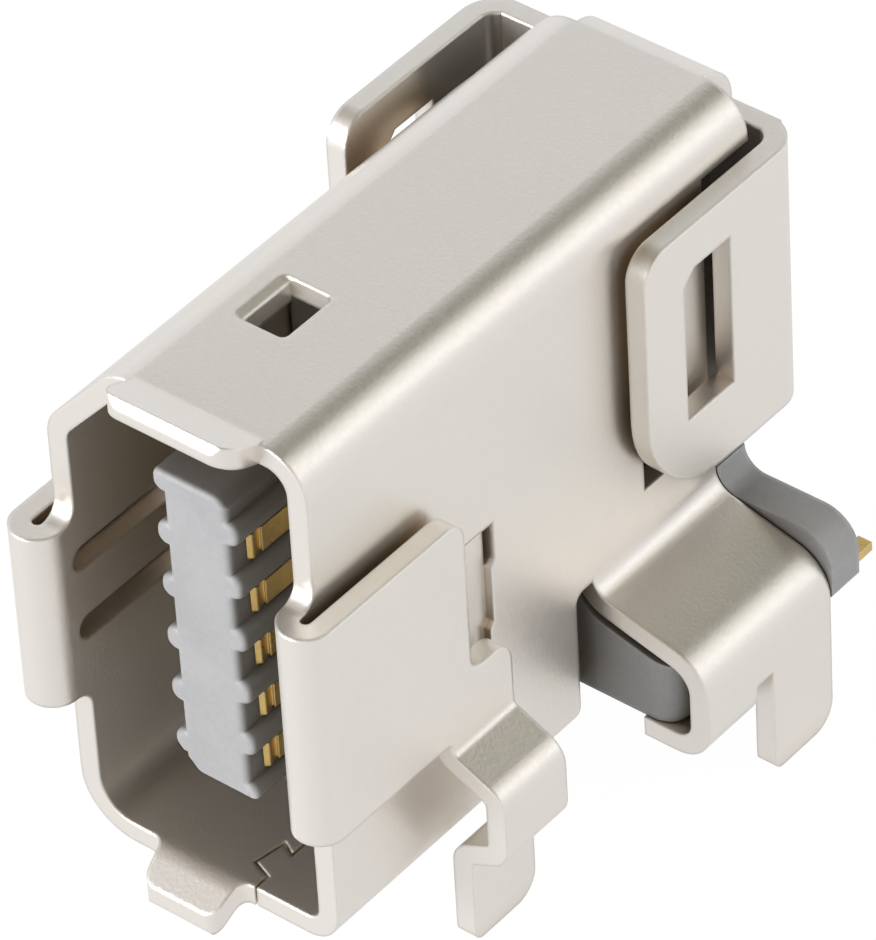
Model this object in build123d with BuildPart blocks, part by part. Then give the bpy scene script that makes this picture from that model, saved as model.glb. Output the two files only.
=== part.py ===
# Shielded right-angle jack for the edge of a circuit board.
# Millimetres. X is the width, Y runs from the mouth to the rear, Z is up.
# The origin is on the board face, on the middle plane, at the mouth edge.
import math
import os

from build123d import *

os.makedirs("parts", exist_ok=True)

# Sheet and mouth tube
sheet = 0.35
tube_half = 2.425
tube_height = 9.2
throat_end = 5.72
corner_top = 0.73
corner_low = 0.58
corner_round = 0.97
chamfer_fall = 1.5
chamfer_wide = 1.325
chamfer_side_z = tube_height - chamfer_fall
chamfer_top_x = chamfer_wide - tube_half
chamfer_blend = 0.75
wall_low_z = 2.7
wall_notch = 0.2

# Dovetailed seam in the bottom wall
seam_x = 0.86
seam_gap = 0.05
seam_key_x = (0.51, 0.61)
seam_key_y = (0.42, 0.98)
seam_flare = 0.14

# Flared lip at the top of the mouth
lip_x = (chamfer_top_x + 0.35, tube_half - corner_top - 0.085)
lip_root = 0.3
lip_bend_y = 0.14
lip_bend = 0.4
lip_rise = 22
lip_reach = 0.72
lip_front = -0.68
lip_corner = 0.36

# Tab at the bottom of the mouth
tab_x = (-0.9, 0.62)
tab_root = 0.04
tab_bend_y = 0.08
tab_bend = 0.45
tab_drop = 34
tab_reach = 0.6
tab_corner = 0.24
tab_relief = 0.22
tab_taper = 0.08
tab_plan_reach = 0.62

# Lanced window in the top wall
lance_x = (-0.5, 0.45)
lance_y = (1.97, 3.09)
lance_corner = 0.12
lance_drop = 24
lance_reach = 0.17

# Stepped window in each side wall and the fingers behind it
pane_y = (3.2, 3.76, 3.85, 3.95)
pane_z = (3.0, 3.57, 4.7, 5.4)
pane_ledge = 0.12
finger_z = (3.1, 5.25)
finger_y = (3.1, 3.84)
finger_inset = 0.13

# Hem flap on each side of the mouth
hem_gap = 0.18
hem_front = -0.73
hem_low_z = 2.7
hem_top_right = tube_height - 2.57
hem_top_left = tube_height - 3.28
hem_rear = 2.68
hem_step_z = 3.71
hem_fillet = 0.3
hem_corner = 0.34
leg_y = (2.15, 3.58)

# Slots in each side wall, at set shares of the height of the left hem
hem_span = hem_top_left - hem_low_z
slot_z = (hem_low_z + 0.36 * hem_span, hem_low_z + 0.764 * hem_span)
slot_high = 0.46
slot_y = (-0.1, 3.4)

# Front leg
leg_bend = 0.3
leg_out_x = 3.7
leg_straight = 0.68
pin_x = 3.01
leg_tip_z = -1.12
leg_tip_round = 0.45
leg_tip_small = 0.18

# Rear arch, hook and rear leg
arch_y = (6.12, 9.11)
arch_start_z = 2.83
arch_outer_x = 4.53
hook_y = (6.12, 7.3)
rear_leg_y = (7.68, 9.11)
rear_leg_root_z = 0.87
arch_root_bend = 0.58
arch_bend = 0.62
hook_bend = 0.45
hook_mid_z = 0.31
hook_tip_x = 3.3

# Back plate and ears
back_y = 10.8
back_bend = 0.4
hood_end = back_y - 0.68
back_x = (chamfer_top_x + 0.4, tube_half - corner_top - 0.075)
back_low_z = 3.56
wing_start_x = -back_x[0] / 2
ear_outer_x = tube_half + 0.525
ear_bend = 0.28
ear_front_y = back_y - 3.85
ear_z = (back_low_z, tube_height - 0.82)
ear_round_top = 0.49
ear_round_low = 1.7
ear_window_cut = 0.25
ear_window_y = (back_y - 2.94, back_y - 1.82)
ear_window_z = (4.85, tube_height - 1.6)
side_cut_y = (back_y - 3.38, back_y - 1.8)
side_cut_z = (back_low_z, 4.6, tube_height - 0.8)

# Housing
fit_gap = 0.04
tongue_front = 0.3
tongue_half = 0.77
tongue_mid_z = tube_height / 2 - 0.03
tongue_z = (tongue_mid_z - 2.83, tongue_mid_z + 2.83)
tongue_slant = (0.42, 0.34)
tongue_round = (0.22, 0.12)
tongue_edge = 0.08
web_half = 0.59
web_edge = 0.12
rib_pitch = 1.0
rib_high = 0.42
rib_edge = 0.09
rib_left_z = tongue_mid_z - 2.35
rib_right_z = tongue_mid_z - 2.78
rib_count = 6
core_y = (4.9, back_y - 1.1)
core_low_z = 0.45
base_low_z = 0.1
base_half = 3.2
foot_rest = 0.02
shelf_z = hook_mid_z + sheet / 2 + foot_rest
foot_y = (6.16, 9.11)
foot_gap = 0.2
foot_round = 0.57
foot_low_round = 0.3
base_y = 7.45
flank_y = (9.15, 9.83)
flank_low_z = 1.2
flank_top_z = 2.4
flank_root = 0.4
flank_bend = 0.62
flank_step_x = 3.95

# Contacts
contact_thick = 0.16
contact_high = 0.44
contact_front = 0.7
contact_x = 0.57
nose_long = 0.07
nose_cut = 0.06
groove_y = (0.8, 0.97)
groove_deep = 0.05
riser_wide = 0.3
riser_first_y = 6.6
riser_step = 0.42
fan_z = 0.72
fan_bend = 0.2
tail_wide = 0.26
tail_first_x = 0.75
tail_pitch = 0.65
tail_bend_y = 9.95
tail_end_y = 11.55
tail_bend = 0.16
tail_turn = 70
tail_sine = math.sin(math.radians(tail_turn))
tail_cosine = math.cos(math.radians(tail_turn))
tail_drop = (fan_z - contact_thick / 2 - 2 * tail_bend * (1 - tail_cosine)) / tail_sine
tail_slant_y = 2 * tail_bend * tail_sine + tail_drop * tail_cosine


# One face of a folded strip. The walk follows the middle of the sheet through
# straight runs and bends; off is the distance of the face to the left of it.
def strip_runs(start, heading, moves, off):
    here = Vector(start[0], start[1])
    angle = math.radians(heading)
    runs = []
    for move in moves:
        ahead = Vector(math.cos(angle), math.sin(angle))
        left = Vector(-ahead.Y, ahead.X)
        if len(move) == 1:
            after = here + ahead * move[0]
            runs.append((here + left * off, after + left * off))
            here = after
            continue
        turn = math.radians(move[0])
        sign = 1 if turn > 0 else -1
        centre = here + left * (sign * move[1])
        radius = move[1] - sign * off
        spokes = []
        for share in (0, 0.5, 1):
            step = angle + turn * share
            spokes.append(Vector(math.sin(step), -math.cos(step)) * sign)
        runs.append(tuple(centre + spoke * radius for spoke in spokes))
        here = centre + spokes[2] * move[1]
        angle = angle + turn
    return runs


# Closed outline between two faces of the walk, or between one face and a path.
def strip_outline(start, heading, moves, thick):
    upper = strip_runs(start, heading, moves, thick / 2)
    lower = strip_runs(start, heading, moves, -thick / 2)
    with BuildSketch(Plane.XY) as outline:
        with BuildLine():
            for run in upper + lower:
                if len(run) == 2:
                    Line(run[0], run[1])
                else:
                    ThreePointArc(run[0], run[1], run[2])
            Line(upper[0][0], lower[0][0])
            Line(upper[-1][-1], lower[-1][-1])
        make_face()
    return outline.sketch


# Solid outline below one face of the walk, closed through the given points.
def block_outline(start, heading, moves, off, points):
    runs = strip_runs(start, heading, moves, off)
    with BuildSketch(Plane.XY) as outline:
        with BuildLine():
            for run in runs:
                if len(run) == 2:
                    Line(run[0], run[1])
                else:
                    ThreePointArc(run[0], run[1], run[2])
            Polyline(runs[-1][-1], *points, runs[0][0])
        make_face()
    return outline.sketch


# A sketch plane across the part at depth y; positive extrusion runs forward.
def across(y):
    return Plane.XZ.offset(-y)


# Outline of the tube in X and Z, shrunk by inset on every side.
def tube_outline(inset):
    side = tube_half - inset
    top = tube_height - inset
    slope = math.hypot(chamfer_top_x + tube_half, tube_height - chamfer_side_z)
    slide = inset * (slope - (chamfer_top_x + tube_half)) / (tube_height - chamfer_side_z)
    lift = inset * (slope - (tube_height - chamfer_side_z)) / (chamfer_top_x + tube_half)
    with BuildSketch(Plane.XY) as outline:
        with BuildLine():
            Polyline(
                (-side, inset),
                (side, inset),
                (side, top),
                (chamfer_top_x + slide, top),
                (-side, chamfer_side_z - lift),
                close=True,
            )
        make_face()
        for side_x, level, radius in (
            (side, top, corner_top),
            (side, inset, corner_low),
            (-side, inset, corner_round),
            (-side, chamfer_side_z - lift, chamfer_blend),
            (chamfer_top_x + slide, top, chamfer_blend),
        ):
            near = outline.vertices().filter_by(lambda v: abs(v.X - side_x) < 0.01)
            fillet(near.filter_by(lambda v: abs(v.Y - level) < 0.01), max(radius - inset, 0.05))
    return outline.sketch


# Flared lip, trimmed to its rounded outline from above
with BuildPart() as lip:
    with BuildSketch(Plane.YZ.offset(lip_x[0])):
        add(
            strip_outline(
                (lip_root, tube_height - sheet / 2),
                180,
                [(lip_root - lip_bend_y,), (-lip_rise, lip_bend), (lip_reach,)],
                sheet,
            )
        )
    extrude(amount=lip_x[1] - lip_x[0])
    with BuildSketch(Plane.XY.offset(tube_height - 2 * sheet)):
        with Locations(((lip_x[0] + lip_x[1]) / 2, lip_root)):
            RectangleRounded(lip_x[1] - lip_x[0], 2 * (lip_root - lip_front), lip_corner)
    extrude(amount=lip_reach + 2 * sheet, mode=Mode.INTERSECT)

# Bottom tab, trimmed to its tapered outline with relief curves at the root
with BuildPart() as tab:
    with BuildSketch(Plane.YZ.offset(tab_x[0] - tab_relief)):
        add(
            strip_outline(
                (tab_bend_y + tab_root, sheet / 2),
                180,
                [(tab_root,), (tab_drop, tab_bend), (tab_reach,)],
                sheet,
            )
        )
    extrude(amount=tab_x[1] - tab_x[0] + 2 * tab_relief)
    with BuildSketch(Plane.XY.offset(-1)) as tab_plan:
        with BuildLine():
            Polyline(
                (tab_x[0] - tab_relief, 0.4),
                (tab_x[0] - tab_relief, 0),
                (tab_x[0], 0),
                (tab_x[0] + tab_taper, -tab_plan_reach),
                (tab_x[1] - tab_taper, -tab_plan_reach),
                (tab_x[1], 0),
                (tab_x[1] + tab_relief, 0),
                (tab_x[1] + tab_relief, 0.4),
                close=True,
            )
        make_face()
        roots = tab_plan.vertices().filter_by(lambda v: abs(v.Y) < 0.01)
        fillet(roots.filter_by(lambda v: tab_x[0] - 0.01 < v.X < tab_x[1] + 0.01), tab_relief - 0.01)
        fillet(tab_plan.vertices().filter_by(lambda v: v.Y < -tab_plan_reach + 0.01), tab_corner)
    extrude(amount=2, mode=Mode.INTERSECT)

# Mouth tube, hood behind it and the back plate
with BuildPart() as tube:
    with BuildSketch(across(throat_end)):
        add(tube_outline(0))
        add(tube_outline(sheet), mode=Mode.SUBTRACT)
    extrude(amount=throat_end)
    with BuildSketch(across(hood_end)):
        add(tube_outline(0))
        add(tube_outline(sheet), mode=Mode.SUBTRACT)
        with Locations((0, wall_low_z / 2 - 0.5)):
            Rectangle(tube_half * 3, wall_low_z + 1, mode=Mode.SUBTRACT)
    extrude(amount=hood_end - throat_end)
    with BuildSketch(across(arch_y[1])):
        with Locations((0, arch_start_z / 2)):
            Rectangle(tube_half * 3, arch_start_z)
    extrude(amount=arch_y[1] - arch_y[0], mode=Mode.SUBTRACT)
    with BuildSketch(across(hood_end)):
        with Locations((0, side_cut_z[0] / 2)):
            Rectangle(tube_half * 3, side_cut_z[0])
    extrude(amount=hood_end - arch_y[1], mode=Mode.SUBTRACT)
    notch_edges = tube.edges().filter_by(Axis.X)
    notch_edges = notch_edges.filter_by(
        lambda e: abs(e.center().Y - throat_end) < 0.01 and abs(e.center().Z - wall_low_z) < 0.01
    )
    fillet(notch_edges, wall_notch)
    # side opening behind the ear
    with BuildSketch(Plane.YZ.offset(-tube_half * 2)):
        with BuildLine():
            Polyline(
                (side_cut_y[0], side_cut_z[0]),
                (hood_end + 1, side_cut_z[0]),
                (hood_end + 1, side_cut_z[2]),
                (side_cut_y[1], side_cut_z[2]),
                (side_cut_y[1], side_cut_z[1]),
                (side_cut_y[0], side_cut_z[1]),
                close=True,
            )
        make_face()
    extrude(amount=tube_half * 4, mode=Mode.SUBTRACT)
    # seam with its dovetail in the bottom wall
    seam_path = [
        (seam_x, -sheet),
        (seam_x, seam_key_y[0] - seam_flare),
        (seam_key_x[0], seam_key_y[0]),
        (seam_key_x[1], seam_key_y[1]),
        (seam_x, seam_key_y[1] - seam_flare),
        (seam_x, throat_end + sheet),
    ]
    with BuildSketch(Plane.XY.offset(-sheet)):
        for first, second in zip(seam_path, seam_path[1:]):
            run = (second[0] - first[0], second[1] - first[1])
            middle = ((first[0] + second[0]) / 2, (first[1] + second[1]) / 2)
            turned = math.degrees(math.atan2(run[1], run[0]))
            with Locations(Location((middle[0], middle[1], 0), (0, 0, turned))):
                Rectangle(math.hypot(run[0], run[1]) + seam_gap, seam_gap)
    extrude(amount=sheet * 3, mode=Mode.SUBTRACT)
    # room for the root of the bottom tab
    with BuildSketch(Plane.XY.offset(-sheet)):
        with Locations(((tab_x[0] + tab_x[1]) / 2, 0)):
            Rectangle(tab_x[1] - tab_x[0] + 2 * tab_relief, 2 * tab_bend_y)
    extrude(amount=sheet * 3, mode=Mode.SUBTRACT)
    # lanced window in the top wall
    with BuildSketch(Plane.XY.offset(tube_height - sheet * 1.5)):
        with Locations(((lance_x[0] + lance_x[1]) / 2, (lance_y[0] + lance_y[1]) / 2)):
            RectangleRounded(lance_x[1] - lance_x[0], lance_y[1] - lance_y[0], lance_corner)
    extrude(amount=sheet * 2, mode=Mode.SUBTRACT)
    lance_end_x = lance_x[0] + lance_reach * math.cos(math.radians(lance_drop))
    lance_fall = lance_reach * math.sin(math.radians(lance_drop))
    with BuildSketch(across(lance_y[1])):
        with BuildLine():
            Polyline(
                (lance_x[0] - lance_corner, tube_height),
                (lance_x[0], tube_height),
                (lance_end_x, tube_height - lance_fall),
                (lance_end_x, tube_height - lance_fall - sheet),
                (lance_x[0], tube_height - sheet),
                (lance_x[0] - lance_corner, tube_height - sheet),
                close=True,
            )
        make_face()
    extrude(amount=lance_y[1] - lance_y[0])
    # strip of the top wall that folds down into the back plate
    with BuildSketch(Plane.YZ.offset(back_x[0])):
        add(
            strip_outline(
                (hood_end - 0.3, tube_height - sheet / 2),
                0,
                [
                    (back_y - back_bend - sheet - hood_end + 0.3,),
                    (-90, back_bend + sheet / 2),
                    (tube_height - back_bend - sheet - back_low_z,),
                ],
                sheet,
            )
        )
    extrude(amount=back_x[1] - back_x[0])

    add(lip.part)
    add(tab.part)

# Side folds of the right half; the left half is their mirror
hem_mid_x = tube_half + hem_gap / 2
hem_radius = hem_gap / 2 + sheet / 2
flap_mid_x = hem_mid_x + hem_radius
fold_y = hem_front + hem_radius + sheet / 2
leg_turn = math.radians(65)
leg_shift = (leg_out_x - flap_mid_x - 2 * leg_bend * (1 - math.cos(leg_turn))) / math.sin(leg_turn)
pin_shift = (leg_out_x - pin_x - 2 * leg_bend * (1 - math.cos(leg_turn))) / math.sin(leg_turn)
leg_top_z = hem_low_z - 0.14
leg_moves = [
    (0.2,),
    (65, leg_bend),
    (leg_shift,),
    (-65, leg_bend),
    (leg_straight,),
    (-65, leg_bend),
    (pin_shift,),
    (65, leg_bend),
    (3,),
]
flaps = []
for side, hem_top in ((1, hem_top_right), (-1, hem_top_left)):
    with BuildPart() as flap:
        with BuildSketch(Plane.XY.offset(leg_top_z)):
            add(
                strip_outline(
                    (tube_half - sheet / 2, 0.3),
                    -90,
                    [(0.3 - fold_y,), (180, hem_radius), (leg_y[1] - fold_y,)],
                    sheet,
                )
            )
        extrude(amount=hem_top - leg_top_z)
        with BuildSketch(across(leg_y[1])):
            add(strip_outline((flap_mid_x, leg_top_z + 0.2), -90, leg_moves, sheet))
        extrude(amount=leg_y[1] - leg_y[0])
        # side outline of flap and leg
        with BuildSketch(Plane.YZ.offset(tube_half - 1)) as flap_side:
            with BuildLine():
                Polyline(
                    (hem_front - 1, hem_low_z),
                    (leg_y[0], hem_low_z),
                    (leg_y[0], leg_tip_z),
                    (leg_y[1], leg_tip_z),
                    (leg_y[1], hem_step_z),
                    (hem_rear, hem_step_z),
                    (hem_rear, hem_top),
                    (hem_front - 1, hem_top),
                    close=True,
                )
            make_face()
            for corner, radius in (
                ((leg_y[0], hem_low_z), 0.12),
                ((leg_y[0], leg_tip_z), leg_tip_small),
                ((leg_y[1], leg_tip_z), leg_tip_round),
                ((leg_y[1], hem_step_z), 0.36),
                ((hem_rear, hem_step_z), 0.26),
                ((hem_rear, hem_top), hem_corner),
            ):
                near = flap_side.vertices().filter_by(lambda v: abs(v.X - corner[0]) < 0.01)
                fillet(near.filter_by(lambda v: abs(v.Y - corner[1]) < 0.01), radius)
        extrude(amount=5, mode=Mode.INTERSECT)
        # curves between the hem and the mouth edge
        with BuildSketch(Plane.YZ.offset(tube_half - sheet)):
            for level, rise in ((hem_top, hem_fillet), (hem_low_z, -hem_fillet)):
                with BuildLine():
                    RadiusArc((0, level + rise), (-hem_fillet, level), rise)
                    Polyline((-hem_fillet, level), (0.2, level), (0.2, level + rise), (0, level + rise))
                make_face()
        extrude(amount=sheet)
    flaps.append(flap.part if side > 0 else mirror(flap.part, about=Plane.YZ))

# Rear arch with its hook and leg
arch_turn = math.radians(75)
arch_x = arch_outer_x - sheet / 2
arch_span = arch_x - tube_half + sheet / 2 - (arch_root_bend + arch_bend) * (1 - math.cos(arch_turn))
arch_slope = arch_span / math.sin(arch_turn)
arch_fall = (arch_root_bend + arch_bend) * math.sin(arch_turn) + arch_slope * math.cos(arch_turn)
arch_low_z = arch_start_z - arch_fall
arch_start = (tube_half - sheet / 2, arch_start_z)
arch_moves = [(75, arch_root_bend), (arch_slope,), (-75, arch_bend)]
hook_fall = arch_low_z - hook_mid_z - hook_bend
with BuildPart() as arch:
    with BuildSketch(across(arch_y[1])):
        add(strip_outline(arch_start, -90, arch_moves + [(arch_low_z - rear_leg_root_z,)], sheet))
    extrude(amount=arch_y[1] - arch_y[0])
    with BuildSketch(across(hook_y[1])):
        add(
            strip_outline(
                (arch_x, arch_low_z),
                -90,
                [(hook_fall,), (-90, hook_bend), (arch_x - hook_bend - hook_tip_x,)],
                sheet,
            )
        )
    extrude(amount=hook_y[1] - hook_y[0])
    with BuildSketch(Plane.YZ.offset(arch_x - sheet / 2)) as rear_leg_side:
        with BuildLine():
            Polyline(
                (rear_leg_y[0], arch_low_z),
                (rear_leg_y[0], leg_tip_z),
                (rear_leg_y[1], leg_tip_z),
                (rear_leg_y[1], arch_low_z),
                close=True,
            )
        make_face()
        for edge_y, radius in ((rear_leg_y[1], leg_tip_round), (rear_leg_y[0], leg_tip_small)):
            tips = rear_leg_side.vertices().filter_by(lambda v: abs(v.Y - leg_tip_z) < 0.01)
            fillet(tips.filter_by(lambda v: abs(v.X - edge_y) < 0.01), radius)
    extrude(amount=sheet)

# Ear with its window, folded forward from the back plate
with BuildPart() as ear:
    with BuildSketch(Plane.XY.offset(ear_z[0])):
        add(
            strip_outline(
                (wing_start_x, back_y - sheet / 2),
                0,
                [
                    (ear_outer_x - ear_bend - sheet - wing_start_x,),
                    (-90, ear_bend + sheet / 2),
                    (back_y - ear_bend - sheet - ear_front_y,),
                ],
                sheet,
            )
        )
    extrude(amount=ear_z[1] - ear_z[0])
    with BuildSketch(Plane.YZ.offset(tube_half)) as ear_side:
        with Locations(((ear_front_y + back_y + 1) / 2, (ear_z[0] + ear_z[1]) / 2)):
            Rectangle(back_y + 1 - ear_front_y, ear_z[1] - ear_z[0])
        for height, radius in ((ear_z[1], ear_round_top), (ear_z[0], ear_round_low)):
            front = ear_side.vertices().filter_by(lambda v: abs(v.X - ear_front_y) < 0.01)
            fillet(front.filter_by(lambda v: abs(v.Y - height) < 0.01), radius)
        with BuildLine():
            Polyline(
                (ear_window_y[0], ear_window_z[0]),
                (ear_window_y[1], ear_window_z[0]),
                (ear_window_y[1], ear_window_z[1]),
                (ear_window_y[0] + ear_window_cut, ear_window_z[1]),
                (ear_window_y[0], ear_window_z[1] - ear_window_cut),
                close=True,
            )
        make_face(mode=Mode.SUBTRACT)
    extrude(amount=2, mode=Mode.INTERSECT)
    with BuildSketch(Plane.XY.offset(ear_z[0])):
        with Locations(((wing_start_x + tube_half + 0.1) / 2, back_y - sheet / 2)):
            Rectangle(tube_half + 0.1 - wing_start_x, sheet)
    extrude(amount=ear_z[1] - ear_z[0])

# Cuts in the side wall of the tube; they stop halfway into the gap behind the hem
with BuildPart() as wall_cuts:
    with BuildSketch(Plane.YZ.offset(tube_half - sheet - hem_gap / 2)):
        for height in slot_z:
            with Locations(((slot_y[0] + slot_y[1]) / 2, height)):
                SlotOverall(slot_y[1] - slot_y[0], slot_high)
        with BuildLine():
            Polyline(
                (pane_y[0], pane_z[0]),
                (pane_y[1], pane_z[0]),
                (pane_y[1], pane_z[1] - pane_ledge),
                (pane_y[2], pane_z[1]),
                (pane_y[2], pane_z[2] - pane_ledge),
                (pane_y[3], pane_z[2]),
                (pane_y[3], pane_z[3]),
                (pane_y[0], pane_z[3]),
                close=True,
            )
        make_face()
    extrude(amount=sheet + hem_gap)
with BuildPart() as fingers:
    with BuildSketch(Plane.YZ.offset(tube_half - sheet - finger_inset)):
        with Locations(((finger_y[0] + finger_y[1]) / 2, (finger_z[0] + finger_z[1]) / 2)):
            Rectangle(finger_y[1] - finger_y[0], finger_z[1] - finger_z[0])
    extrude(amount=sheet)

with BuildPart() as shell:
    add(tube.part)
    for flap_piece in flaps:
        add(flap_piece)
    add(wall_cuts.part, mode=Mode.SUBTRACT)
    add(mirror(wall_cuts.part, about=Plane.YZ), mode=Mode.SUBTRACT)
    for piece in (fingers, arch, ear):
        add(piece.part)
        add(mirror(piece.part, about=Plane.YZ))
shell.part.label = "shell"

# Contacts: blade beside the tongue, riser in the core, fan and surface tail
contacts = []
for side, side_name in ((-1, "l"), (1, "r")):
    for row in range(5):
        first_rib = rib_left_z if side < 0 else rib_right_z
        blade_z = first_rib + (row + 0.5) * rib_pitch
        riser_y = riser_first_y + riser_step * row
        tail_x = side * (tail_first_x + tail_pitch * (4 - row))
        blade_x = side * contact_x
        turn = 90 * side
        reach = abs(tail_x) - abs(blade_x) - fan_bend + tail_wide / 2
        with BuildPart() as contact:
            with BuildSketch(Plane.YZ.offset(blade_x - contact_thick / 2)):
                with BuildLine():
                    Polyline(
                        (contact_front, blade_z - contact_high / 2),
                        (contact_front, blade_z + contact_high / 2),
                        (riser_y + riser_wide, blade_z + contact_high / 2),
                        (riser_y + riser_wide, fan_z + fan_bend),
                        (riser_y, fan_z + fan_bend),
                        (riser_y, blade_z - contact_high / 2),
                        close=True,
                    )
                make_face()
            extrude(amount=contact_thick)
            # bevelled nose and the groove behind it
            blade_face = blade_x + side * contact_thick / 2
            with BuildSketch(Plane.XY.offset(blade_z - contact_high)):
                with BuildLine():
                    Polyline(
                        (blade_face - side * nose_cut, contact_front),
                        (blade_face, contact_front + nose_long),
                        (blade_face, contact_front),
                        close=True,
                    )
                make_face()
                with BuildLine():
                    Polyline(
                        (blade_face, groove_y[0]),
                        (blade_face - side * groove_deep, groove_y[1]),
                        (blade_face, groove_y[1]),
                        close=True,
                    )
                make_face()
            extrude(amount=contact_high * 2, mode=Mode.SUBTRACT)
            with BuildSketch(across(riser_y + riser_wide)):
                add(
                    strip_outline(
                        (blade_x, fan_z + fan_bend),
                        -90,
                        [(turn, fan_bend), (reach,)],
                        contact_thick,
                    )
                )
            extrude(amount=riser_wide)
            with BuildSketch(Plane.YZ.offset(tail_x - tail_wide / 2)):
                add(
                    strip_outline(
                        (riser_y, fan_z),
                        0,
                        [
                            (tail_bend_y - riser_y,),
                            (-tail_turn, tail_bend),
                            (tail_drop,),
                            (tail_turn, tail_bend),
                            (tail_end_y - tail_bend_y - tail_slant_y,),
                        ],
                        contact_thick,
                    )
                )
            extrude(amount=tail_wide)
        contact.part.label = f"contact_{side_name}{row + 1}"
        contacts.append(contact)


# Six-sided outline of the tongue in X and Z, bevelled at its upper right and lower left
def tongue_outline(half, slant, round_off):
    with BuildSketch(Plane.XY) as outline:
        with BuildLine():
            Polyline(
                (-half, tongue_z[0] + slant[0]),
                (-half + slant[0], tongue_z[0]),
                (half, tongue_z[0]),
                (half, tongue_z[1] - slant[1]),
                (half - slant[1], tongue_z[1]),
                (-half, tongue_z[1]),
                close=True,
            )
        make_face()
        square = outline.vertices().filter_by(lambda v: v.X * (v.Y - tongue_mid_z) < 0)
        fillet(square, round_off[1])
        slanted = outline.vertices().filter_by(lambda v: v.X * (v.Y - tongue_mid_z) > 0)
        fillet(slanted, round_off[0])
    return outline.sketch


# Envelope of the tongue with a softened front rim
with BuildPart() as envelope:
    with BuildSketch(across(core_y[1])):
        add(tongue_outline(tongue_half, tongue_slant, tongue_round))
    extrude(amount=core_y[1] - tongue_front)
    fillet(envelope.faces().sort_by(Axis.Y)[0].edges(), tongue_edge)

# Web between the two rows of contacts
with BuildPart() as web:
    with BuildSketch(across(core_y[1])):
        with Locations((0, tongue_mid_z)):
            Rectangle(2 * web_half, tongue_z[1] - tongue_z[0])
    extrude(amount=core_y[1] - tongue_front)
    fillet(web.faces().sort_by(Axis.Y)[0].edges().filter_by(Axis.Z), web_edge)

# One rib; its outer end is rounded and its front rim softened
with BuildPart() as rib:
    with BuildSketch(across(core_y[0])):
        RectangleRounded(2 * tongue_half, rib_high, rib_high * 0.42)
    extrude(amount=core_y[0] - tongue_front)
    fillet(rib.faces().sort_by(Axis.Y)[0].edges(), rib_edge)
    with BuildSketch(across(core_y[0])):
        with Locations((-tongue_half, 0)):
            Rectangle(2 * tongue_half, 2 * rib_high)
    extrude(amount=core_y[0] - tongue_front, mode=Mode.SUBTRACT)

# Ribbed tongue and core of the housing
with BuildPart() as core:
    add(web.part)
    for row in range(rib_count):
        add(Pos(0, 0, rib_right_z + row * rib_pitch) * rib.part)
        add(Pos(0, 0, rib_left_z + row * rib_pitch) * mirror(rib.part, about=Plane.YZ))
    add(envelope.part, mode=Mode.INTERSECT)
    with BuildSketch(across(core_y[1])):
        add(tube_outline(sheet + fit_gap))
        with Locations((0, core_low_z / 2)):
            Rectangle(tube_half * 2, core_low_z, mode=Mode.SUBTRACT)
    extrude(amount=core_y[1] - core_y[0])

# Foot under the right arch and the rear flank behind it
foot_side_x = arch_x - sheet / 2 - foot_gap
with BuildPart() as foot:
    with BuildSketch(across(foot_y[1] + 0.1)) as foot_front:
        add(
            block_outline(
                arch_start,
                -90,
                arch_moves + [(arch_low_z - shelf_z,)],
                -sheet / 2 - foot_gap,
                [(0, shelf_z), (0, arch_start_z)],
            )
        )
        side_corners = foot_front.vertices().filter_by(lambda v: abs(v.X - foot_side_x) < 0.01)
        fillet(side_corners.filter_by(lambda v: abs(v.Y - shelf_z) < 0.01), foot_low_round)
    extrude(amount=foot_y[1] + 0.1 - foot_y[0])
    with BuildSketch(Plane.XY):
        with Locations((0, (foot_y[0] + foot_y[1] + 2) / 2)):
            RectangleRounded(2 * foot_side_x, foot_y[1] + 2 - foot_y[0], foot_round)
    extrude(amount=4, mode=Mode.INTERSECT)
    with BuildSketch(across(foot_y[1] + 0.1)):
        with Locations((base_half / 2, (base_low_z + shelf_z) / 2 + 0.1)):
            Rectangle(base_half, shelf_z - base_low_z + 0.2)
    extrude(amount=foot_y[1] + 0.1 - base_y)
    with BuildSketch(across(flank_y[1])):
        add(
            block_outline(
                (tube_half, flank_top_z + flank_root),
                -90,
                [
                    (90, flank_root),
                    (arch_outer_x - tube_half - flank_root - flank_bend,),
                    (-90, flank_bend),
                    (flank_top_z - flank_bend - flank_low_z - 0.12,),
                ],
                0,
                [
                    (arch_outer_x - 0.12, flank_low_z),
                    (flank_step_x, flank_low_z - 0.16),
                    (flank_step_x, base_low_z),
                    (0, base_low_z),
                    (0, flank_top_z + flank_root),
                ],
            )
        )
    extrude(amount=flank_y[1] - flank_y[0])

with BuildPart() as housing:
    add(core.part)
    add(foot.part)
    add(mirror(foot.part, about=Plane.YZ))
    for contact in contacts:
        add(contact.part, mode=Mode.SUBTRACT)
housing.part.label = "housing"

export_step(shell.part, "parts/shell.step")
export_step(housing.part, "parts/housing.step")
for contact in contacts:
    export_step(contact.part, f"parts/{contact.part.label}.step")
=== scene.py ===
import math

import bpy
from mathutils import Matrix, Vector


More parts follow.
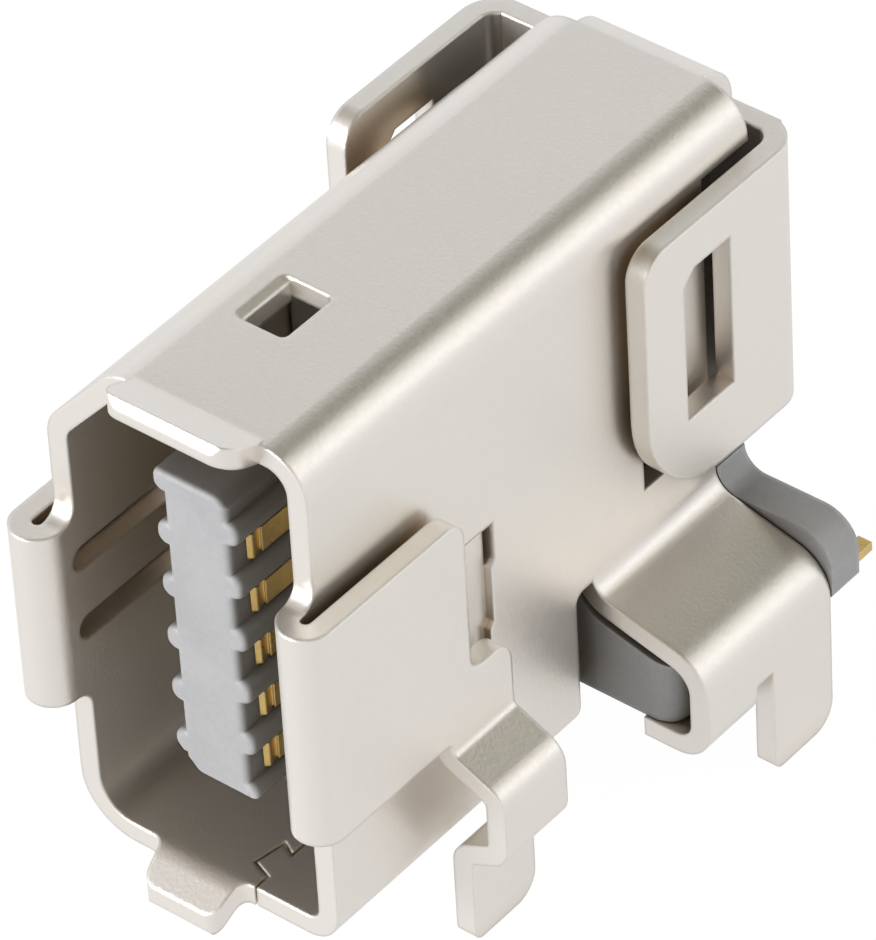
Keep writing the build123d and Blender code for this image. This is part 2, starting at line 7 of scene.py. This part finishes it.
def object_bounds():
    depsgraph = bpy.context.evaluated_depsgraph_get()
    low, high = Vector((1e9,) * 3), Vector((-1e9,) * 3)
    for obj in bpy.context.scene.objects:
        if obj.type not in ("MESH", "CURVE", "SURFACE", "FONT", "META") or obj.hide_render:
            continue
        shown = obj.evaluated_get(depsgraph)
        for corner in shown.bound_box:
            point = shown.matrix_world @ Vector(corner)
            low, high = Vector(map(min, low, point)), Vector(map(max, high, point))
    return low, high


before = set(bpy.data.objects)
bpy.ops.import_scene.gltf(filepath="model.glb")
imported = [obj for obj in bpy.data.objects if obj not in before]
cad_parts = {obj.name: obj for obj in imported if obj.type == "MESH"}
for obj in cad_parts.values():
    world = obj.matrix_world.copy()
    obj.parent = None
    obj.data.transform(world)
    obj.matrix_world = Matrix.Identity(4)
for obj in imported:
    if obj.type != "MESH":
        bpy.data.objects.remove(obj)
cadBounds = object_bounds()
scene = bpy.context.scene
scene.view_settings.view_transform = "Standard"
print("frame loaded:", len(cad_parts), "parts")

# The photograph's view: a long lens, close by, above the front right corner
photoView = {
    "azimuth": 40.99,  # degrees from the mouth towards +X
    "elevation": 40.55,
    "roll": 3.52,
    "width": 876,
    "height": 940,
    "focalPixels": 8378.0,
    "pixelsPerMetre": 68330.0,
    "aimAt": (0.0, 0.00485, 0.004365),
    "aimPixel": (404.6, 479.4),  # where the photograph shows that point
    "sensorWidth": 36,
    "clip": (0.002, 20),
}


def makeCamera(view):
    azimuth, elevation, roll = (math.radians(view[key]) for key in ("azimuth", "elevation", "roll"))
    outward = math.cos(elevation)
    ahead = Vector((-math.sin(azimuth) * outward, math.cos(azimuth) * outward, -math.sin(elevation)))
    level = Vector((math.cos(azimuth), math.sin(azimuth), 0))
    plumb = ahead.cross(level)
    right = level * math.cos(roll) + plumb * math.sin(roll)
    down = plumb * math.cos(roll) - level * math.sin(roll)
    scale = view["pixelsPerMetre"]
    offRight = (view["aimPixel"][0] - view["width"] / 2) / scale
    offDown = (view["aimPixel"][1] - view["height"] / 2) / scale
    place = Vector(view["aimAt"]) - right * offRight - down * offDown
    place -= ahead * (view["focalPixels"] / scale)
    camera = bpy.data.objects.new("photoCamera", bpy.data.cameras.new("photoCamera"))
    camera.data.sensor_fit = "HORIZONTAL"
    camera.data.sensor_width = view["sensorWidth"]
    camera.data.lens = view["focalPixels"] * view["sensorWidth"] / view["width"]
    camera.data.clip_start, camera.data.clip_end = view["clip"]
    turn = Matrix((right, -down, -ahead)).transposed().to_4x4()
    camera.matrix_world = Matrix.Translation(place) @ turn
    scene.collection.objects.link(camera)
    scene.camera = camera


makeCamera(photoView)
print("camera set")

# Socket numbers of a Mix node: mask, first value, second value and result
mixSockets = {"RGBA": (0, 6, 7, 2), "FLOAT": (0, 2, 3, 0)}


# Small helpers for node trees; a value is a number, a colour, a vector or another node's output
def feed(tree, socket, value):
    if isinstance(value, bpy.types.NodeSocket):
        tree.links.new(value, socket)
    elif socket.type == "RGBA" and not isinstance(value, (int, float)):
        socket.default_value = (*value, 1)
    else:
        socket.default_value = value


def addNode(tree, kind, **values):
    node = tree.nodes.new(kind)
    for name, value in values.items():
        setattr(node, name, value)
    return node


def maths(tree, operation, first, second):
    node = addNode(tree, "ShaderNodeMath", operation=operation)
    feed(tree, node.inputs[0], first)
    feed(tree, node.inputs[1], second)
    return node.outputs[0]


def dotProduct(tree, first, second):
    node = addNode(tree, "ShaderNodeVectorMath", operation="DOT_PRODUCT")
    feed(tree, node.inputs[0], first)
    feed(tree, node.inputs[1], second)
    return node.outputs["Value"]


def mapRange(tree, value, low, high, toLow=0.0, toHigh=1.0):
    node = addNode(tree, "ShaderNodeMapRange", clamp=True)
    names = ("Value", "From Min", "From Max", "To Min", "To Max")
    for name, each in zip(names, (value, low, high, toLow, toHigh)):
        feed(tree, node.inputs[name], each)
    return node.outputs["Result"]


def mix(tree, mask, first, second, kind="RGBA", blend="MIX"):
    node = addNode(tree, "ShaderNodeMix", data_type=kind, blend_type=blend)
    *sockets, result = mixSockets[kind]
    for index, value in zip(sockets, (mask, first, second)):
        feed(tree, node.inputs[index], value)
    return node.outputs[result]


def addNoise(tree, place, scale, detail, roughness=0.5, seed=None):
    node = addNode(tree, "ShaderNodeTexNoise")
    names = ("Vector", "Scale", "Detail", "Roughness")
    for name, value in zip(names, (place, scale, detail, roughness)):
        feed(tree, node.inputs[name], value)
    if seed is not None:
        node.noise_dimensions = "4D"
        feed(tree, node.inputs["W"], seed)
    return node.outputs["Fac"]


def objectPlace(tree):
    return addNode(tree, "ShaderNodeTexCoord").outputs["Object"]


def newGroup(name, inputs, outputs):
    group = bpy.data.node_groups.new(name, "ShaderNodeTree")
    for label, value in inputs.items():
        socket = group.interface.new_socket(label, in_out="INPUT", socket_type="NodeSocketFloat")
        socket.default_value = value
    for label, kind in outputs.items():
        group.interface.new_socket(label, in_out="OUTPUT", socket_type=kind)
    return group, group.nodes.new("NodeGroupInput").outputs, group.nodes.new("NodeGroupOutput").inputs


# Fine grain of plating, moulding or stamping, drawn out along one direction
fineGrain = {
    "inputs": {"Across": 20000.0, "Along": 20000.0, "Speck": 30000.0, "Line Share": 0.5},
    "lineDetail": 4,
    "lineRoughness": 0.62,
    "speckDetail": 5,
    "speckRoughness": 0.7,
    "maskSpan": (0.34, 0.66),
}


def makeGrainGroup(look):
    outputs = {"Height": "NodeSocketFloat", "Mask": "NodeSocketFloat"}
    group, start, end = newGroup("fineGrain", look["inputs"], outputs)
    place = objectPlace(group)
    size = addNode(group, "ShaderNodeCombineXYZ")
    for socket, name in zip(size.inputs, ("Across", "Across", "Along")):
        feed(group, socket, start[name])
    stretch = addNode(group, "ShaderNodeVectorMath", operation="MULTIPLY")
    feed(group, stretch.inputs[0], place)
    feed(group, stretch.inputs[1], size.outputs[0])
    lines = addNoise(group, stretch.outputs[0], 1, look["lineDetail"], look["lineRoughness"])
    specks = addNoise(group, place, start["Speck"], look["speckDetail"], look["speckRoughness"])
    height = mix(group, start["Line Share"], specks, lines, kind="FLOAT")
    feed(group, end["Height"], height)
    feed(group, end["Mask"], mapRange(group, height, *look["maskSpan"]))
    return group


# Rounded sheared edges, and a painted highlight along them, broken into patches
softEdge = {
    "inputs": {"Radius": 0.00004, "Breakup": 9000.0},
    "samples": 6,
    "agreement": (0.999, 0.9),  # of the rounded normal with the flat one, where the painted highlight is nil and where it is full
    "breakupDetail": 3,
    "breakupSpan": (0.3, 0.6),
    "leastHighlight": 0.45,
}


def makeEdgeGroup(look):
    outputs = {"Normal": "NodeSocketVector", "Mask": "NodeSocketFloat"}
    group, start, end = newGroup("softEdge", look["inputs"], outputs)
    rounded = addNode(group, "ShaderNodeBevel", samples=look["samples"])
    feed(group, rounded.inputs["Radius"], start["Radius"])
    flat = addNode(group, "ShaderNodeNewGeometry")
    agreement = dotProduct(group, rounded.outputs[0], flat.outputs["Normal"])
    patches = addNoise(group, objectPlace(group), start["Breakup"], look["breakupDetail"])
    turned = mapRange(group, agreement, *look["agreement"])
    patchyHighlight = mapRange(group, patches, *look["breakupSpan"], look["leastHighlight"])
    feed(group, end["Normal"], rounded.outputs[0])
    feed(group, end["Mask"], maths(group, "MULTIPLY", turned, patchyHighlight))
    return group


# Slow drift of tone over a surface, as on plated or moulded stock
slowDrift = {"inputs": {"Scale": 500.0, "Seed": 0.0}, "detail": 2, "maskSpan": (0.3, 0.7)}


def makeDriftGroup(look):
    group, start, end = newGroup("slowDrift", look["inputs"], {"Mask": "NodeSocketFloat"})
    drift = addNoise(group, objectPlace(group), start["Scale"], look["detail"], seed=start["Seed"])
    feed(group, end["Mask"], mapRange(group, drift, *look["maskSpan"]))
    return group


# Painted shade in recesses that little light reaches, such as slots, gaps and the sides of the
# tongue: ambient occlusion darkens the colour there
paintedRecessShade = {"inputs": {"Reach": 0.0007, "Open": 0.85, "Shut": 0.25}, "samples": 8}


def makeRecessShadeGroup(look):
    group, start, end = newGroup("paintedRecessShade", look["inputs"], {"Mask": "NodeSocketFloat"})
    near = addNode(group, "ShaderNodeAmbientOcclusion", samples=look["samples"])
    feed(group, near.inputs["Distance"], start["Reach"])
    feed(group, end["Mask"], mapRange(group, near.outputs["AO"], start["Open"], start["Shut"]))
    return group


grainGroup = makeGrainGroup(fineGrain)
edgeGroup = makeEdgeGroup(softEdge)
driftGroup = makeDriftGroup(slowDrift)
recessShadeGroup = makeRecessShadeGroup(paintedRecessShade)
print("shader groups built")


def useGroup(tree, group, values):
    node = addNode(tree, "ShaderNodeGroup", node_tree=group)
    for name, value in values.items():
        node.inputs[name].default_value = value
    return node.outputs


def newMaterial(name):
    material = bpy.data.materials.new(name)
    material.use_nodes = True
    material.node_tree.nodes.clear()
    output = addNode(material.node_tree, "ShaderNodeOutputMaterial")
    return material, material.node_tree, output.inputs["Surface"]


# One finish: drifting colour, fleck of the grain, painted highlights on the edges and painted shade
# in recesses, over a fine bump
def makeFinish(name, look):
    material, tree, surface = newMaterial(name)
    edge = useGroup(tree, edgeGroup, look["edge"])
    grain = useGroup(tree, grainGroup, look["grain"])
    drift = useGroup(tree, driftGroup, look["drift"])
    colour = mix(tree, drift["Mask"], look["colour"], look["driftColour"])
    if "fleckColour" in look:
        fleck = maths(tree, "MULTIPLY", grain["Mask"], look["fleckShare"])
        colour = mix(tree, fleck, colour, look["fleckColour"])
    # painted highlight: the rounded edges are lightened towards the edge highlight colour
    rimHighlight = maths(tree, "MULTIPLY", edge["Mask"], look["edgeHighlightShare"])
    colour = mix(tree, rimHighlight, colour, look["edgeHighlightColour"])
    # painted shade: the colour darkens towards the recess shade colour where ambient occlusion finds
    # a recess
    if "recessShadeColour" in look:
        recessShade = useGroup(tree, recessShadeGroup, look["recessShade"])
        colour = mix(tree, recessShade["Mask"], colour, look["recessShadeColour"])
    bump = addNode(tree, "ShaderNodeBump")
    bump.inputs["Strength"].default_value = 1
    bump.inputs["Distance"].default_value = look["grainDepth"]
    feed(tree, bump.inputs["Height"], grain["Height"])
    feed(tree, bump.inputs["Normal"], edge["Normal"])
    shader = addNode(tree, "ShaderNodeBsdfPrincipled")
    shader.inputs["Metallic"].default_value = look["metallic"]
    feed(tree, shader.inputs["Base Color"], colour)
    feed(tree, shader.inputs["Roughness"], mapRange(tree, grain["Mask"], 0, 1, *look["roughness"]))
    feed(tree, shader.inputs["Normal"], bump.outputs[0])
    feed(tree, surface, shader.outputs[0])
    return material


# Satin plating on the folded sheet
platedSheet = {
    "colour": (0.925, 0.88, 0.82),
    "driftColour": (0.91, 0.875, 0.83),
    "fleckColour": (0.70, 0.66, 0.60),
    "fleckShare": 0.06,
    # painted highlight along the rounded edges of the sheet
    "edgeHighlightColour": (0.96, 0.94, 0.91),
    "edgeHighlightShare": 0.5,
    # painted shade in slots, gaps and creases, warm brown
    "recessShadeColour": (0.56, 0.45, 0.32),
    "recessShade": {"Reach": 0.0007, "Open": 0.62, "Shut": 0.20},
    "roughness": (0.31, 0.42),
    "metallic": 0.84,
    "edge": {"Radius": 0.00008, "Breakup": 9000.0},
    "grain": {"Across": 17000.0, "Along": 7000.0, "Speck": 15000.0, "Line Share": 0.45},
    "grainDepth": 0.0000055,
    "drift": {"Scale": 420.0, "Seed": 2.0},
}

# Grey glass-filled moulding of the tongue, core, feet and flank
greyMoulding = {
    "colour": (0.39, 0.395, 0.41),
    "driftColour": (0.455, 0.46, 0.475),
    "fleckColour": (0.80, 0.805, 0.815),
    "fleckShare": 0.14,
    # painted highlight along the rounded edges of the moulding
    "edgeHighlightColour": (0.80, 0.805, 0.815),
    "edgeHighlightShare": 0.7,
    # painted shade on the sides of the tongue, the feet and other recesses
    "recessShadeColour": (0.115, 0.102, 0.08),
    "recessShade": {"Reach": 0.003, "Open": 0.72, "Shut": 0.2},
    "roughness": (0.34, 0.46),
    "metallic": 0,
    "edge": {"Radius": 0.00012, "Breakup": 6000.0},
    "grain": {"Across": 9000.0, "Along": 9000.0, "Speck": 12000.0, "Line Share": 0.3},
    "grainDepth": 0.0000014,
    "drift": {"Scale": 900.0, "Seed": 7.0},
}

# Gold plating on the contacts, duller in places, with a painted highlight along the stamped edges
goldPlate = {
    "colour": (0.83, 0.60, 0.22),
    "driftColour": (0.66, 0.47, 0.18),
    # painted highlight along the stamped edges
    "edgeHighlightColour": (0.97, 0.80, 0.45),
    "edgeHighlightShare": 1,
    "roughness": (0.24, 0.40),
    "metallic": 1,
    "edge": {"Radius": 0.00003, "Breakup": 12000.0},
    "grain": {"Across": 18000.0, "Along": 6000.0, "Speck": 14000.0, "Line Share": 0.6},
    "grainDepth": 0.0000005,
    "drift": {"Scale": 1500.0, "Seed": 4.0},
}

finishes = {
    "shell": makeFinish("platedSheet", platedSheet),
    "housing": makeFinish("greyMoulding", greyMoulding),
    "contact": makeFinish("goldPlate", goldPlate),
}
for name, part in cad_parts.items():
    part.data.materials.clear()
    part.data.materials.append(finishes[name.split("_")[0]])
print("parts dressed")

# Pale floor under the leg tips; the camera sees it white and it keeps the shadow
floorSheet = {
    "half": 0.6,
    "level": cadBounds[0][2],
    "colour": (0.86, 0.86, 0.86),
    "share": 0.93,  # of its own glow, where a camera, glossy or transmission ray sees it
    "white": 1.05,
    "nearSide": (-0.66, -0.75, 0),
    "glowNear": 0.77,
    "glowFar": 0.86,
    "reach": 0.02,
}


def makeFloor(look):
    half, level = look["half"], look["level"]
    mesh = bpy.data.meshes.new("floor")
    corners = [(half * x, half * y, level) for x, y in ((-1, -1), (1, -1), (1, 1), (-1, 1))]
    mesh.from_pydata(corners, [], [(0, 1, 2, 3)])
    floor = bpy.data.objects.new("floor", mesh)
    scene.collection.objects.link(floor)
    material, tree, surface = newMaterial("floorPaper")
    mesh.materials.append(material)
    paper = addNode(tree, "ShaderNodeBsdfDiffuse")
    feed(tree, paper.inputs["Color"], look["colour"])
    nearness = dotProduct(tree, objectPlace(tree), look["nearSide"])
    reach = look["reach"]
    glow = mapRange(tree, nearness, -reach, reach, look["glowFar"], look["glowNear"])
    rays = addNode(tree, "ShaderNodeLightPath").outputs
    sheet = addNode(tree, "ShaderNodeEmission")
    strength = mix(tree, rays["Is Camera Ray"], glow, look["white"], kind="FLOAT")
    feed(tree, sheet.inputs["Strength"], strength)
    seen = maths(tree, "MAXIMUM", rays["Is Camera Ray"], rays["Is Glossy Ray"])
    seen = maths(tree, "MAXIMUM", seen, rays["Is Transmission Ray"])
    blend = addNode(tree, "ShaderNodeMixShader")
    sources = (maths(tree, "MULTIPLY", seen, look["share"]), paper.outputs[0], sheet.outputs[0])
    for socket, source in zip(blend.inputs, sources):
        feed(tree, socket, source)
    feed(tree, surface, blend.outputs[0])


makeFloor(floorSheet)

# Light tent: pale walls, a dim warm ceiling, two soft boxes in it and two lamps
studio = {
    "wall": (0.87, 0.88, 0.905),
    "ceilingFront": (0.26, 0.20, 0.13),
    "ceilingBack": (0.11, 0.11, 0.06),
    "ceilingTurn": (-0.35, 0.45),  # from front to back
    "ceilingTilt": 0.25,
    "ceilingSpan": (0.57, 0.68),  # height at which the wall ends and the ceiling is full
    "boxes": (
        {"aim": (0.60, 0.57, 0.56), "inner": 0.98, "outer": 0.90, "strength": 0.80},
        {"aim": (-0.50, -0.86, 0.06), "inner": 0.97, "outer": 0.80, "strength": 0.65},
    ),
    "lamps": (
        {"name": "softLamp", "power": 0.10, "size": 0.30, "place": (0.26, 0.10, 0.26)},
        {"name": "keyLamp", "power": 0.88, "size": 0.16, "place": (-0.16, -0.36, 0.10)},
    ),
}


def softBox(tree, direction, look):
    facing = dotProduct(tree, direction, Vector(look["aim"]).normalized())
    return mapRange(tree, facing, look["outer"], look["inner"], 0, look["strength"])


def makeTent(look):
    world = bpy.data.worlds.new("lightTent")
    world.use_nodes = True
    scene.world = world
    tree = world.node_tree
    tree.nodes.clear()
    direction = addNode(tree, "ShaderNodeTexCoord").outputs["Generated"]
    split = addNode(tree, "ShaderNodeSeparateXYZ")
    feed(tree, split.inputs[0], direction)
    across, backward, up = split.outputs
    turn = mapRange(tree, backward, *look["ceilingTurn"])
    ceiling = mix(tree, turn, look["ceilingFront"], look["ceilingBack"])
    rise = maths(tree, "ADD", up, maths(tree, "MULTIPLY", across, look["ceilingTilt"]))
    tent = mix(tree, mapRange(tree, rise, *look["ceilingSpan"]), look["wall"], ceiling)
    boxes = maths(tree, "ADD", *(softBox(tree, direction, box) for box in look["boxes"]))
    background = addNode(tree, "ShaderNodeBackground")
    feed(tree, background.inputs["Color"], mix(tree, 1, tent, boxes, blend="ADD"))
    output = addNode(tree, "ShaderNodeOutputWorld")
    feed(tree, output.inputs["Surface"], background.outputs[0])


def makeLamp(look):
    lamp = bpy.data.lights.new(look["name"], "AREA")
    lamp.shape = "SQUARE"
    lamp.size = look["size"]
    lamp.energy = look["power"]
    holder = bpy.data.objects.new(look["name"], lamp)
    holder.location = look["place"]
    aim = Vector(photoView["aimAt"]) - Vector(look["place"])
    holder.rotation_euler = aim.to_track_quat("-Z", "Y").to_euler()
    scene.collection.objects.link(holder)


makeTent(studio)
for lampLook in studio["lamps"]:
    makeLamp(lampLook)
print("floor and lights set")
